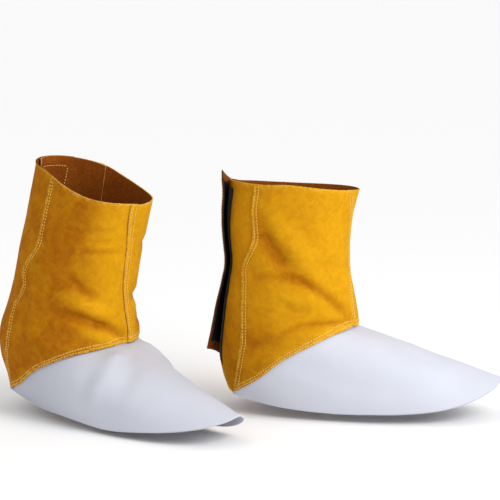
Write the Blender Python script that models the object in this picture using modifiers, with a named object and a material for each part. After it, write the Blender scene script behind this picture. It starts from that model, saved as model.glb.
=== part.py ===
"""A pair of welder's leg guards, worn, each closed up the back by hook and loop tape.

Each guard is a split leather tube round the ankle and lower shin, open at the back under a flap,
with a paler leather flare sewn under its lower edge that spreads over the instep and toe.
The pair keeps the pose of a stride: the left guard leads, the right one is turned outward.

Metres, +Z up. +X is the way the wearer faces and +Y is the wearer's left. The origin is midway
between the two collars, where the wearer's legs hold the pair up.
"""
import math

import bpy
from mathutils import Vector

# --- leather, tape and seams ---
LEATHER = 0.0016        # wall of the split leather
TAPE = 0.0012           # wall of the hook tape and of the loop tape
LEATHER_ROUGHNESS = 0.9
TAPE_ROUGHNESS = 0.95
GAP = 0.0003            # kept between pieces that touch
LAP = 0.011             # how far one piece runs under the next at a sewn seam
LAP_ANGLE = 8.0         # the same lap round the tube, in degrees
PLY = LEATHER + GAP     # from the middle of one leather wall to that of the next on it
TAPE_STEP = (LEATHER + TAPE) / 2 + GAP      # leather to the tape that lies on it
TAPE_GAP = 0.0008       # kept between the hook tape and the loop tape
FLAP_STEP = 2 * TAPE_STEP + TAPE + TAPE_GAP     # underlap to the flap, both tapes between them
TURN = 0.0025           # how far below the seam edge the flare bends outward
MARGIN = 0.0005         # the flare's sewn margin lies this much deeper than the next ply
RAMP = 22.0             # degrees in which a piece rises from one ply to the next

# --- heights above the sole plane ---
COLLAR = 0.300          # the origin's height

# --- closure, in degrees round the tube from the toe by the outer side ---
UNDERLAP_EDGE = 166.0   # free edge of the underlap, and root of the flap
FLAP_EDGE = 205.0       # free edge of the flap
FLAP_EDGE_ROWS = ((166, 0.062), (178, 0.072), (190, 0.079), (FLAP_EDGE, 0.086))
CLOSURE = (UNDERLAP_EDGE, 170.0, 178.0, 187.0, 196.0, 201.0, FLAP_EDGE)
FLAP_CLEAR = 163.0      # by here the flap stands clear of the underlap and both tapes
TAPE_ROWS = slice(1, -1)        # a tape stops a lap short of the foot and of the rim

# --- panel grids ---
QUARTER_COLUMNS = 11
BACK_COLUMNS = 3
WALL_ROWS = 10
FLARE_ROWS = 7

# Lower edge of the tube: degrees from the toe to either side, and height. As far as the heel
# corner it is sewn to the flare, and behind that it rises free to the closure.
HEEL_CORNER = 147.0
EDGE = (
    # angle, inner side, outer side
    (0, 0.112, 0.112),
    (25, 0.115, 0.106),
    (45, 0.110, 0.099),
    (70, 0.093, 0.081),
    (90, 0.075, 0.065),
    (110, 0.054, 0.047),
    (130, 0.038, 0.035),
    (HEEL_CORNER, 0.029, 0.029),
    (155, 0.042, 0.042),
    (167, 0.062, 0.062),
    (180, 0.077, 0.077),
)

EDGE_DIP_SIDE = -24.0   # side angle where the edge in front dips most
EDGE_DIP_WIDTH = 26.0   # degrees either way over which that fades

# Hem of the flare under each stretch of the seam edge.
HEM = (
    # angle, forward, out, height, share of the toe's lift
    (0, 0.295, 0.000, 0.000, 1.00),
    (10, 0.285, 0.022, 0.000, 0.80),
    (22, 0.259, 0.042, 0.003, 0.48),
    (36, 0.218, 0.058, 0.008, 0.16),
    (52, 0.168, 0.067, 0.011, 0.00),
    (70, 0.112, 0.070, 0.009, 0.00),
    (90, 0.052, 0.067, 0.009, 0.00),
    (110, 0.000, 0.061, 0.012, 0.00),
    (130, -0.042, 0.0505, 0.018, 0.00),
    (HEEL_CORNER, -0.071, 0.047, 0.0255, 0.00),
)
FLARE_CROWN = 0.11      # how far the flare stands proud of a straight fall, in parts of its length
SLUMP_SIDE = 28.0       # degrees in which the toe's inner side sinks away from its tip
PINCH_SIDE = -34.0      # side angle where the hem beside the toe is drawn in most
PINCH_WIDTH = 16.0      # degrees either way over which that fades
LOBE_START = 0.15       # share of the way to the hem in which a lobe of the flare fades in
FOLD_ENDS = 0.45        # depth of a fold at its ends, against its depth half way
FLAP_STEPS = 8          # straight steps that carry the flap off the tube

SECTION_COLUMNS = ("height", "forward", "out", "half_length", "half_width", "squareness",
                   "front_seam", "inner_seam", "outer_seam")

# Both guards in their own frames: toe along +X, outer side +Y, sole plane at height 0. Angles of
# seams are degrees from the toe; the front seam's is positive to the outer side. A fold runs from
# one side angle (positive to the outer side) and height to another, with a width and a depth; a
# lobe of the flare runs from one point to another, with a width and a rise. A sag of the hem is a
# side angle, the degrees either way over which it fades, and a drop.
GUARDS = {
    "left": {
        "outer": 1,
        "place": (0.127, 0.019),
        "yaw": -9.0,
        "rim": ((0, 0.305), (90, 0.303), (150, 0.308), (180, 0.316), (200, 0.318), (235, 0.317),
                (270, 0.318), (315, 0.312), (360, 0.305)),
        "edge_shift": 0.006,
        "edge_dip": 0.0,
        "flap_rise": 0.014,
        "toe_lift": 0.051,
        "toe_slump": 0.0,
        "toe_pinch": 0.0,
        "hem_sags": (),
        "spring": ((0.070, 0.88), (0.100, 0.76), (0.150, 0.58), (0.200, 0.45), (0.240, 0.42),
                   (0.320, 0.46)),
        "sections": (
            (0.320, 0.009, 0.004, 0.091, 0.064, 2.1, -19, 131, 116),
            (0.300, 0.006, 0.003, 0.0875, 0.065, 2.1, -15, 130, 115),
            (0.280, 0.0025, 0.002, 0.0855, 0.067, 2.1, -9, 128, 111),
            (0.260, 0.000, 0.001, 0.0835, 0.069, 2.1, -4, 125, 107),
            (0.238, -0.0005, 0.000, 0.0815, 0.071, 2.1, 1, 124, 105),
            (0.205, 0.001, 0.000, 0.080, 0.073, 2.1, -1, 136, 119),
            (0.180, 0.0015, 0.000, 0.0835, 0.075, 2.2, -7, 134, 113),
            (0.150, 0.002, 0.000, 0.089, 0.077, 2.2, -12, 133, 122),
            (0.112, 0.002, 0.000, 0.093, 0.079, 2.3, -11, 131, 119),
            (0.078, -0.003, 0.000, 0.091, 0.074, 2.3, -11, 133, 128),
            (0.045, -0.004, 0.000, 0.088, 0.069, 2.3, -11, 140, 138),
            (0.020, -0.004, 0.000, 0.089, 0.063, 2.3, -11, 147, 147),
        ),
        "folds": (
            ("inner arch, behind", -112, 0.208, -58, 0.196, 0.010, -0.0022),
            ("inner arch, before", -62, 0.196, -18, 0.136, 0.010, -0.0042),
            ("inner foot", -78, 0.132, -36, 0.134, 0.009, -0.0024),
            ("inner swell", -90, 0.258, -72, 0.224, 0.018, 0.0030),
            ("inner hollow", -112, 0.262, -114, 0.180, 0.016, -0.0035),
            ("outer arch, behind", 104, 0.216, 62, 0.198, 0.011, -0.0026),
            ("outer arch, before", 66, 0.198, 20, 0.142, 0.011, -0.0036),
            ("outer swell", 84, 0.252, 60, 0.232, 0.017, 0.0026),
        ),
        "lobes": (
            ("inner hollow", (0.030, -0.080, 0.070), (0.085, -0.078, 0.042), 0.020, -0.0030),
            ("inner swell", (0.120, -0.052, 0.085), (0.190, -0.050, 0.055), 0.022, 0.0020),
            ("outer ridge", (0.088, 0.045, 0.098), (0.120, 0.074, 0.045), 0.014, 0.0040),
            ("outer hollow", (0.066, 0.066, 0.080), (0.082, 0.078, 0.032), 0.014, -0.0040),
        ),
    },
    "right": {
        "outer": -1,
        "place": (-0.175, 0.009),
        "yaw": -37.0,
        "rim": ((0, 0.297), (45, 0.305), (90, 0.322), (135, 0.340), (180, 0.348), (225, 0.338),
                (270, 0.318), (315, 0.302), (360, 0.297)),
        "edge_shift": -0.006,
        "edge_dip": 0.0085,
        "flap_rise": 0.0,
        "toe_lift": 0.036,
        "toe_slump": 0.016,
        "toe_pinch": 0.42,
        "hem_sags": ((-36, 18, 0.0085), (62, 20, 0.006)),
        "spring": ((0.0, 0.0), (0.4, 0.0)),
        "sections": (
            (0.340, 0.057, 0.000, 0.090, 0.060, 2.1, 13, 130, 116),
            (0.290, 0.042, 0.000, 0.086, 0.065, 2.1, 12, 127, 111),
            (0.262, 0.034, 0.000, 0.084, 0.069, 2.1, 9, 124, 107),
            (0.238, 0.027, 0.000, 0.083, 0.072, 2.1, 5, 123, 105),
            (0.205, 0.018, 0.000, 0.083, 0.074, 2.1, 2, 135, 119),
            (0.180, 0.012, 0.000, 0.083, 0.075, 2.1, -1, 134, 113),
            (0.150, 0.004, 0.000, 0.086, 0.077, 2.1, -7, 133, 122),
            (0.112, 0.000, 0.000, 0.091, 0.083, 2.4, -10, 131, 119),
            (0.078, -0.004, 0.000, 0.092, 0.077, 2.3, -10, 133, 128),
            (0.045, -0.002, 0.000, 0.0865, 0.070, 2.3, -10, 140, 138),
            (0.020, -0.001, 0.000, 0.086, 0.063, 2.3, -10, 147, 147),
        ),
        "folds": (
            ("outer wrinkle, upper", 66, 0.262, 26, 0.263, 0.009, -0.0018),
            ("outer wrinkle, lower", 30, 0.234, 4, 0.238, 0.008, -0.0014),
            ("outer crease", 60, 0.201, 22, 0.168, 0.009, -0.0030),
            ("outer arch, behind", 66, 0.151, 34, 0.141, 0.010, -0.0036),
            ("outer arch, before", 38, 0.142, -3, 0.118, 0.010, -0.0045),
            ("front pinch, upper", -18, 0.163, -50, 0.166, 0.008, -0.0030),
            ("front swell", -14, 0.147, -46, 0.148, 0.008, 0.0022),
            ("inner arch", -34, 0.152, -78, 0.186, 0.011, -0.0036),
            ("inner wrinkle", -30, 0.232, -76, 0.240, 0.010, -0.0022),
        ),
        "lobes": (
            ("outer ridge", (0.082, 0.038, 0.100), (0.115, 0.073, 0.043), 0.013, 0.0055),
            ("outer hollow", (0.074, 0.060, 0.086), (0.088, 0.076, 0.026), 0.012, -0.0055),
            ("under the ridge", (0.116, 0.073, 0.030), (0.150, 0.068, 0.024), 0.012, -0.0035),
            ("before the ridge", (0.104, 0.012, 0.100), (0.134, 0.020, 0.085), 0.010, -0.0025),
            ("inner ridge", (0.084, -0.044, 0.098), (0.116, -0.074, 0.046), 0.014, 0.0040),
            ("inner hollow", (0.062, -0.068, 0.078), (0.076, -0.080, 0.030), 0.014, -0.0040),
        ),
    },
}


def follow(rows, key):
    """Every other column of a table at one value of its first, on a smooth curve."""
    rows = sorted(rows)
    keys = [row[0] for row in rows]
    key = min(max(key, keys[0]), keys[-1])
    last = len(rows) - 1
    i = next((n for n in range(last) if key <= keys[n + 1]), last - 1)
    span = keys[i + 1] - keys[i]
    t = (key - keys[i]) / span

    def slope(n, column):
        low, high = max(n - 1, 0), min(n + 1, last)
        return (rows[high][column] - rows[low][column]) / (keys[high] - keys[low])

    values = []
    for column in range(1, len(rows[0])):
        start, end = rows[i][column], rows[i + 1][column]
        rise, fall = slope(i, column) * span, slope(i + 1, column) * span
        values.append(start * (1 + 2 * t) * (1 - t) ** 2 + rise * t * (1 - t) ** 2
                      + end * t * t * (3 - 2 * t) - fall * t * t * (1 - t))
    return values


def ease(value, start, end):
    """0 before start and 1 after end, smooth between them."""
    t = min(max((value - start) / (end - start), 0.0), 1.0)
    return t * t * (3 - 2 * t)


def section(guard, height):
    return dict(zip(SECTION_COLUMNS[1:], follow(guard["sections"], height)))


def side_signed(angle):
    """Degrees from the toe, positive to the outer side, for an angle counted by the outer side."""
    angle = angle % 360
    return angle if angle <= 180 else angle - 360


def edge_height(guard, angle):
    """Lower edge of the tube."""
    side = side_signed(angle)
    inner, outer = follow(EDGE, abs(side))
    shift = guard["edge_shift"] * (1 + math.cos(math.radians(side))) / 2
    from_dip = (side - EDGE_DIP_SIDE) / EDGE_DIP_WIDTH
    shift -= guard["edge_dip"] * math.exp(-from_dip ** 2)
    return (outer if side > 0 else inner) + shift


def flap_edge_height(guard, angle):
    """Lower edge of the outer back panel, which runs level across the flap."""
    return edge_height(guard, angle) if angle <= 170 else follow(FLAP_EDGE_ROWS, angle)[0]


def rim_height(guard, angle):
    return follow(guard["rim"], angle % 360)[0]


def fold_depth(guard, angle, height):
    """How far the folds push the wall in (negative) or out at a place on it."""
    size = section(guard, height)
    arc = math.radians((size["half_length"] + size["half_width"]) / 2)
    side = side_signed(angle)
    total = 0.0
    for _, start_side, start_height, end_side, end_height, width, depth in guard["folds"]:
        along = Vector(((end_side - start_side) * arc, end_height - start_height))
        here = Vector(((side - start_side) * arc, height - start_height))
        share = min(max(here.dot(along) / along.length_squared, 0.0), 1.0)
        away = (here - along * share).length / width
        total += depth * math.exp(-away * away) * (FOLD_ENDS + (1 - FOLD_ENDS) * math.sin(math.pi * share))
    return total


def tube_point(guard, angle, height):
    """A point on the leather tube, before any ply: a rounded oval, squarer low down."""
    size, turn = section(guard, height), math.radians(angle)
    power = size["squareness"]
    along = abs(math.cos(turn)) / size["half_length"]
    across = abs(math.sin(turn)) / size["half_width"]
    radius = (along ** power + across ** power) ** (-1 / power)
    radius += fold_depth(guard, angle, height)
    return Vector((size["forward"] + radius * math.cos(turn),
                   size["out"] + radius * math.sin(turn), height))


def tube_normal(guard, angle, height):
    round_the_tube = tube_point(guard, angle + 1, height) - tube_point(guard, angle - 1, height)
    up_the_tube = tube_point(guard, angle, height + 0.002) - tube_point(guard, angle, height - 0.002)
    return round_the_tube.cross(up_the_tube).normalized()


def ply_point(guard, angle, height, ply):
    return tube_point(guard, angle, height) + tube_normal(guard, angle, height) * ply


def flap_point(guard, angle, height, ply):
    """A point on the flap, which springs off the tube past the edge of the underlap."""
    wrapped = ply_point(guard, angle, height, ply)
    spring = follow(guard["spring"], height)[0]
    if angle <= UNDERLAP_EDGE or spring == 0:
        return wrapped
    root_normal = tube_normal(guard, UNDERLAP_EDGE, height)
    before = place = ply_point(guard, UNDERLAP_EDGE, height, ply)
    for n in range(1, FLAP_STEPS + 1):
        here = UNDERLAP_EDGE + (angle - UNDERLAP_EDGE) * n / FLAP_STEPS
        after = ply_point(guard, here, height, ply)
        outward = tube_normal(guard, here, height).lerp(root_normal, spring).normalized()
        along = Vector((0, 0, 1)).cross(outward).normalized()
        place = place + along * (after - before).length
        before = after
    return place


def column_ends(guard, angle_at, foot):
    """Heights at which a column of a panel meets its lower edge and the rim."""
    low, high = 0.08, 0.30
    for _ in range(30):
        low = (low + foot(guard, angle_at(low))) / 2
        high = rim_height(guard, angle_at(high))
    if foot is flap_edge_height:
        high += guard["flap_rise"] * ease(angle_at(high), UNDERLAP_EDGE, 200)
    return low, high


def wall_heights(guard, angle_at, foot):
    """Rows of one column: a lap at the foot and at the rim, and even rows between them."""
    low, high = column_ends(guard, angle_at, foot)
    bottom, top = low + LAP, high - LAP
    return [low] + [bottom + (top - bottom) * n / WALL_ROWS for n in range(WALL_ROWS + 1)] + [high]


def seam(guard, name):
    """The raw edge at a seam, as an angle for each height, counted by the outer side."""
    def angle_at(height):
        angle = section(guard, height)[name]
        return 360 - angle if name == "inner_seam" else angle
    return angle_at


def shifted(angle_at, degrees):
    return lambda height: angle_at(height) + degrees


def between(start, end, share):
    return lambda height: start(height) + (end(height) - start(height)) * share


def fixed(angle):
    return lambda height: angle


def quarter_columns(guard, side):
    """Columns of a front quarter, in the order of the angles they stand at."""
    if side == "outer":
        front, back = seam(guard, "front_seam"), seam(guard, "outer_seam")
        lap = shifted(back, -LAP_ANGLE)
        columns = [between(front, lap, n / QUARTER_COLUMNS) for n in range(QUARTER_COLUMNS + 1)]
        return [shifted(front, -LAP_ANGLE)] + columns + [back]
    back, front = seam(guard, "inner_seam"), shifted(seam(guard, "front_seam"), 360)
    start, end = shifted(back, LAP_ANGLE), shifted(front, -LAP_ANGLE)
    columns = [between(start, end, n / QUARTER_COLUMNS) for n in range(QUARTER_COLUMNS + 1)]
    return [back] + columns + [front]


def back_columns(guard, side):
    """Columns of a back panel, which runs under the quarter at one end and is free at the other."""
    closure = [fixed(angle) for angle in CLOSURE]
    shares = [n / BACK_COLUMNS for n in range(1, BACK_COLUMNS)]
    if side == "outer":
        edge = seam(guard, "outer_seam")
        columns = [between(edge, closure[0], share) for share in shares]
        return [shifted(edge, -LAP_ANGLE), edge] + columns + closure
    edge = seam(guard, "inner_seam")
    columns = [between(closure[-1], edge, share) for share in shares]
    return closure + columns + [edge, shifted(edge, LAP_ANGLE)]


def surface_grid(guard, columns, point, ply, foot=edge_height, rows=slice(None)):
    """Points of a panel on the tube; ply gives the offset at a column's angle and height."""
    grid = []
    for angle_at in columns:
        heights = wall_heights(guard, angle_at, foot)[rows]
        grid.append([point(guard, angle_at(h), h, ply(angle_at, h)) for h in heights])
    return grid


def flare_ply(guard, side, height):
    """The flare lies a ply deeper where two layers of the tube lie over it."""
    front = section(guard, height)["front_seam"]
    from_lap = abs(side - front + LAP_ANGLE / 2)
    at_front = 1 - ease(from_lap, LAP_ANGLE, LAP_ANGLE + RAMP)
    along_outer = ease(side, front, HEEL_CORNER - LAP_ANGLE) if side > front else 1.0
    at_heel = ease(abs(side), HEEL_CORNER - LAP_ANGLE - RAMP, HEEL_CORNER - LAP_ANGLE)
    return -MARGIN - PLY * max(at_front, 1 - along_outer, at_heel)


def lobe_height(guard, place):
    """How far the flare's soft lobes raise (or sink) the straight cone at a place on it."""
    total = 0.0
    for _, start, end, width, rise in guard["lobes"]:
        start, end = Vector(start), Vector(end)
        along = end - start
        share = min(max((place - start).dot(along) / along.length_squared, 0.0), 1.0)
        away = (place - start - along * share).length / width
        total += rise * math.exp(-away * away)
    return total


def flare_grid(guard):
    """Columns of the flare, from the inner heel corner round the toe to the outer one."""
    inner = quarter_columns(guard, "inner")
    outer = quarter_columns(guard, "outer")[2:]
    grid = []
    for angle_at in inner + outer:
        low, _ = column_ends(guard, angle_at, edge_height)
        side = side_signed(angle_at(low))
        ply = flare_ply(guard, side, low)
        top = ply_point(guard, angle_at(low + LAP), low + LAP, ply)
        edge = ply_point(guard, angle_at(low), low, ply)
        start = edge + (edge - top).normalized() * TURN
        forward, out, height, lift = follow(HEM, abs(side))
        height += (guard["toe_lift"] - guard["toe_slump"] * ease(-side, 0, SLUMP_SIDE)) * lift
        for centre, width, drop in guard["hem_sags"]:
            height -= drop * math.exp(-((side - centre) / width) ** 2)
        pinch = guard["toe_pinch"] * math.exp(-((side - PINCH_SIDE) / PINCH_WIDTH) ** 2)
        out *= 1 - pinch * (side < 0)
        hem = Vector((forward, math.copysign(out, side), height))
        turn = math.radians(side)
        outward = Vector((math.cos(turn), math.sin(turn), 1.0)).normalized()
        fall = (hem - start).length
        column = [top, edge]
        for n in range(FLARE_ROWS + 1):
            share = n / FLARE_ROWS
            place = start.lerp(hem, share)
            crown = FLARE_CROWN * fall * math.sin(math.pi * share) * abs(math.sin(turn))
            crown += lobe_height(guard, place) * ease(share, 0, LOBE_START)
            column.append(place + outward * crown)
        grid.append(column)
    return grid


def to_world(guard, point):
    """From a guard's own frame (toe along +X, outer side +Y, sole plane at 0) to the pair's."""
    turn = math.radians(guard["yaw"])
    x, y = point.x, point.y * guard["outer"]
    return Vector((guard["place"][0] + x * math.cos(turn) - y * math.sin(turn),
                   guard["place"][1] + x * math.sin(turn) + y * math.cos(turn),
                   point.z - COLLAR))


def new_material(name, colour, roughness):
    material = bpy.data.materials.new(name)
    material.use_nodes = True
    shader = material.node_tree.nodes["Principled BSDF"]
    shader.inputs["Base Color"].default_value = (*colour, 1)
    shader.inputs["Roughness"].default_value = roughness
    shader.inputs["Metallic"].default_value = 0
    return material


def add_panel(name, guard, grid, thickness, colour, roughness, collection):
    """A wall of even thickness on a grid of points, the same thickness on both sides of it."""
    down = len(grid[0])
    points = [to_world(guard, point) for column in grid for point in column]
    faces = []
    for i in range(len(grid) - 1):
        for j in range(down - 1):
            a, b = i * down + j, (i + 1) * down + j
            faces.append((a, b, b + 1))
            faces.append((a, b + 1, a + 1))
    mesh = bpy.data.meshes.new(name)
    mesh.from_pydata(points, [], faces)
    mesh.update()
    panel = bpy.data.objects.new(name, mesh)
    collection.objects.link(panel)
    panel.data.materials.append(new_material(name, colour, roughness))
    wall = panel.modifiers.new("wall", "SOLIDIFY")
    wall.thickness = thickness
    wall.offset = 0
    return panel


GOLD = (0.72, 0.40, 0.02)
WHITE = (0.74, 0.76, 0.82)
BLACK = (0.02, 0.02, 0.03)


def build_guard(side, guard, collection):
    def outer_quarter_ply(angle_at, height):
        size = section(guard, height)
        return PLY * ease(angle_at(height), size["front_seam"], size["outer_seam"] - LAP_ANGLE)

    def flap_ply(angle_at, height):
        return FLAP_STEP * ease(angle_at(height), section(guard, height)["outer_seam"], FLAP_CLEAR)

    def hook_ply(angle_at, height):
        return flap_ply(angle_at, height) - TAPE_STEP

    def tube_panel(name, columns, ply, foot=edge_height):
        point = flap_point if foot is flap_edge_height else ply_point
        grid = surface_grid(guard, columns, point, ply, foot)
        add_panel(f"{side}_{name}", guard, grid, LEATHER, GOLD, LEATHER_ROUGHNESS, collection)

    def tape(name, columns, ply, foot):
        point = flap_point if foot is flap_edge_height else ply_point
        grid = surface_grid(guard, columns, point, ply, foot, TAPE_ROWS)
        add_panel(f"{side}_{name}", guard, grid, TAPE, BLACK, TAPE_ROUGHNESS, collection)

    tape_columns = [fixed(angle) for angle in CLOSURE[1:-1]]
    tube_panel("inner_quarter", quarter_columns(guard, "inner"), lambda angle_at, height: PLY)
    tube_panel("outer_quarter", quarter_columns(guard, "outer"), outer_quarter_ply)
    tube_panel("inner_back", back_columns(guard, "inner"), lambda angle_at, height: 0.0)
    tube_panel("outer_back_and_flap", back_columns(guard, "outer"), flap_ply, flap_edge_height)
    tape("hook_tape", tape_columns, hook_ply, flap_edge_height)
    tape("loop_tape", tape_columns, lambda angle_at, height: TAPE_STEP, edge_height)
    add_panel(f"{side}_flare", guard, flare_grid(guard), LEATHER, WHITE, LEATHER_ROUGHNESS, collection)


def main():
    for thing in list(bpy.data.objects):
        bpy.data.objects.remove(thing)
    collection = bpy.data.collections.new("welding_leg_guards")
    bpy.context.scene.collection.children.link(collection)
    for side, guard in GUARDS.items():
        build_guard(side, guard, collection)


main()
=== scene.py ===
"""The finished look of a pair of worn welding leg guards.

Each guard is a tube of golden split suede, two front quarters lapped over two back panels, closed
behind by a flap with hook and loop tape, with a white leather flare sewn under its lower edge.
Metres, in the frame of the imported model: +Z up, +X the way the wearer strides.
"""
import math

import bpy
import numpy as np
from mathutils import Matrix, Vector, noise


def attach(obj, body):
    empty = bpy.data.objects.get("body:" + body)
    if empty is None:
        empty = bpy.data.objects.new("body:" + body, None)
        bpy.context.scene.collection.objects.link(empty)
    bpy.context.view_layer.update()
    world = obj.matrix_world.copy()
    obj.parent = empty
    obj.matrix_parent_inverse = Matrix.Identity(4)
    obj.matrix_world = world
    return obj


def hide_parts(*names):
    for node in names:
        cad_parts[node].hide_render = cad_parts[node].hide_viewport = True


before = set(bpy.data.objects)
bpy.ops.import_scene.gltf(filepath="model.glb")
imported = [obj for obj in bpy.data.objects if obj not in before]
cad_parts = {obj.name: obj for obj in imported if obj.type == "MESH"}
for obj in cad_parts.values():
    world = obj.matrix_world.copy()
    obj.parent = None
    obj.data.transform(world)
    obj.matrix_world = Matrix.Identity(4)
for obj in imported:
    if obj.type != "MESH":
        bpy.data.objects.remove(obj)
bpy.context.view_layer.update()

# --- leather, tape and seams ---
LEATHER = 0.0016  # wall of the split leather
TAPE = 0.0012  # wall of the hook tape and of the loop tape
GAP = 0.0002  # kept between pieces that touch
LAP = 0.011  # how far one piece runs under the next at a sewn seam
LAP_ANGLE = 8.0  # the same lap round the tube, in degrees
PLY = LEATHER + GAP  # from the middle of one leather wall to that of the next on it
TAPE_STEP = (LEATHER + TAPE) / 2 + GAP  # leather to the tape that lies on it
FLAP_STEP = 2 * TAPE_STEP + TAPE + 2 * GAP  # underlap to the flap, both tapes between them
TURN = 0.0022  # how far below the seam edge the flare bends outward
RAMP = 22.0  # degrees in which a piece rises from one ply to the next
COLLAR = 0.300  # the origin's height above the sole plane
FLOOR_GAP = 0.004  # the floor lies this far below the sole plane

# --- stitches ---
ROWS_IN = (0.0034, 0.0078)  # the two stitch rows of a seam, from its raw edge
ROW_MARGIN = 0.004  # a side seam's rows stop this far short of the foot and of the rim
FOOT_ROW_ENDS = {"inner": (0.03, 0.985), "outer": (0.075, 0.97)}  # shares of a quarter's width
TAPE_ROW_INSET = 1.2  # degrees from a tape's side to its stitch row
TAPE_ROW_MARGIN = 0.002  # from a tape's end to its stitch row
FACE_STEP = (0.8, 0.0012)  # degrees and metres to the points that give a row its normals
STITCH_PITCH = 0.0042
STITCH_LENGTH = 0.0031
STITCH_WIDTH = 0.0012
STITCH_HEIGHT = 0.0006
STITCH_SWAY = 0.0004  # how far a stitch strays to the side
SWAY_SCALE = (90, 37)  # how fast that changes along a row, and from row to row
STITCH_SIDES = 6
STITCH_RINGS = (
    # along, in lengths; girth, in parts of the fullest; middle, in heights above the leather
    (-0.5, 0.25, -0.6),
    (-0.38, 0.8, 0.2),
    (-0.15, 1.0, 0.75),
    (0.15, 1.0, 0.75),
    (0.38, 0.8, 0.2),
    (0.5, 0.25, -0.6),
)

# --- relief of the leather ---
SUEDE_WEAR = ((0.0006, 0.042, 7.0), (0.00022, 0.011, 11.0))  # height, size of lumps, seed
FLARE_WEAR = ((0.0011, 0.050, 2.0), (0.0003, 0.014, 4.0))
FLARE_WEAR_START = 0.12  # share of the way to the hem in which that fades in
CRINKLE = ((0.00022, 0.0055, 5.0),)  # beside a seam's stitches
CRINKLE_BAND = (0.011, 0.007)  # its distance from the raw edge, and its reach
SEAM_REACH = 0.012  # from a raw edge to where the wear is back in full
EDGE_LIFT = (0.0004, 0.0003)  # a raw edge stands up by this, give or take that
EDGE_LIFT_LUMPS = (0.012, 3.0)  # size of lumps and seed of the give and take
EDGE_LIFT_WIDTH = 0.0016
ROW_DIP = 0.00035  # how deep a stitch row pulls the leather in
ROW_DIP_WIDTH = 0.0011
PUCKER = 0.00055  # height of the puckers between two stitch rows
PUCKER_AT_FOOT = 0.0008
PUCKER_WIDTH = 0.0017
PUCKER_SLANT = 0.6  # how far a pucker runs along the seam for each step across it

# --- grids ---
FINE = 0.0011  # spacing beside a panel's edges
COARSE = 0.0026  # spacing away from them
FINE_REACH = 0.0125  # how far from an edge the fine spacing goes
PANEL_HEIGHT = 0.26  # a panel's usual height, for its spacing
PANEL_LEVEL = 0.2  # height at which a panel's width is taken
END_GUESSES = (0.08, 0.30)  # of the heights of a panel's lower edge and rim
GUESS_ROUNDS = 30
FLARE_COLUMNS = 150
FLARE_SPACING = (0.55, 0.45)  # parts of its columns' spacing: closer at the heel, and even
FLARE_MARGIN_ROWS = 5
FLARE_ROWS = 66
FLARE_ROW_POWER = 1.25  # how much closer the rows lie to the seam
TAPE_COLUMNS = 26
TAPE_ROWS = 90
SIDE_ROW_POINTS = 140
FOOT_ROW_POINTS = 160
TAPE_SIDE_POINTS = 120
TAPE_END_POINTS = 40

# --- closure, in degrees round the tube from the toe by the outer side ---
UNDERLAP_EDGE = 166.0  # free edge of the underlap, and root of the flap
FLAP_EDGE = 205.0  # free edge of the flap
FLAP_CLEAR = 163.0  # by here the flap stands clear of the underlap and both tapes
FLAP_LEVEL = 170.0  # from here the flap has a lower edge of its own
FLAP_RAISED = 200.0  # by here the flap's rim has its whole rise
FLAP_EDGE_ROWS = ((166, 0.062), (178, 0.072), (190, 0.079), (FLAP_EDGE, 0.086))
TAPE_ANGLES = (170.0, 201.0)
FLAP_STEPS = 8  # strides in which the sprung flap is laid out past the underlap

# Lower edge of the tube, sewn to the flare as far as the heel corner and free behind it.
HEEL_CORNER = 147.0
EDGE = (
    # angle, inner side, outer side
    (0, 0.112, 0.112),
    (25, 0.115, 0.106),
    (45, 0.110, 0.099),
    (70, 0.093, 0.081),
    (90, 0.075, 0.065),
    (110, 0.054, 0.047),
    (130, 0.038, 0.035),
    (HEEL_CORNER, 0.029, 0.029),
    (155, 0.042, 0.042),
    (167, 0.062, 0.062),
    (180, 0.077, 0.077),
)

EDGE_DIP_SIDE = -24.0  # side angle where the edge in front dips most
EDGE_DIP_WIDTH = 26.0  # degrees either way over which that fades

# Hem of the flare under each stretch of the seam edge.
HEM = (
    # angle, forward, out, height, share of the toe's lift
    (0, 0.295, 0.000, 0.000, 1.00),
    (10, 0.285, 0.022, 0.000, 0.80),
    (22, 0.259, 0.042, 0.003, 0.48),
    (36, 0.218, 0.058, 0.008, 0.16),
    (52, 0.168, 0.067, 0.011, 0.00),
    (70, 0.112, 0.070, 0.009, 0.00),
    (90, 0.052, 0.067, 0.009, 0.00),
    (110, 0.000, 0.061, 0.012, 0.00),
    (130, -0.042, 0.0505, 0.018, 0.00),
    (HEEL_CORNER, -0.071, 0.047, 0.0255, 0.00),
)
FLARE_CROWN = 0.11  # how far the flare stands off a straight fall, in parts of its length
SLUMP_SIDE = 28.0  # degrees in which the toe's inner side sinks away from its tip
PINCH_SIDE = -34.0  # side angle where the hem beside the toe is drawn in most
PINCH_WIDTH = 16.0  # degrees either way over which that fades
LOBE_START = 0.15  # share of the way to the hem in which a lobe of the flare fades in
FOLD_ENDS = 0.35  # depth of a fold at its ends, against its depth half way
FOLD_BANKS = 0.55  # how strongly the leather beside a fold rises (or sinks) the other way

# --- wear, and painted shade and highlight ---
RUBBED = 0.004  # how far from a cut edge the nap is rubbed pale
# reach of the paler nap over the foot seam: wear, and there a painted highlight
WEAR_AND_HIGHLIGHT_AT_FOOT = 0.009
FLAP_SHADE_REACH = (0.006, 0.018)  # from the flap's edge: painted dark shade, then none
SHADED_HOLLOW = 0.008  # depth of a fold that takes the painted shade all the way
FOLD_SHADE = (-0.35, 0.9)  # the least and the most that folds change the painted shade: shade in hollows, less on ridges
ANKLE_DARKENING_HEIGHTS = (0.112, 0.150)  # heights between which the darker colour of the ankle ends
ANKLE_DARKENING_WIDTH = 25  # degrees in which the darker colour of the ankle comes on
SHADE_FROM_TOE = (0.12, -0.02)  # forward places between which the flare's painted shade comes on in full
FLARE_SHADE = (0.25, 0.55)  # the flare's painted shade at the toe, and how much more there is behind

# What a section gives after its height.
SECTION_COLUMNS = ("forward", "out", "half_length", "half_width", "squareness",
                   "front_seam", "inner_seam", "outer_seam")
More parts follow.
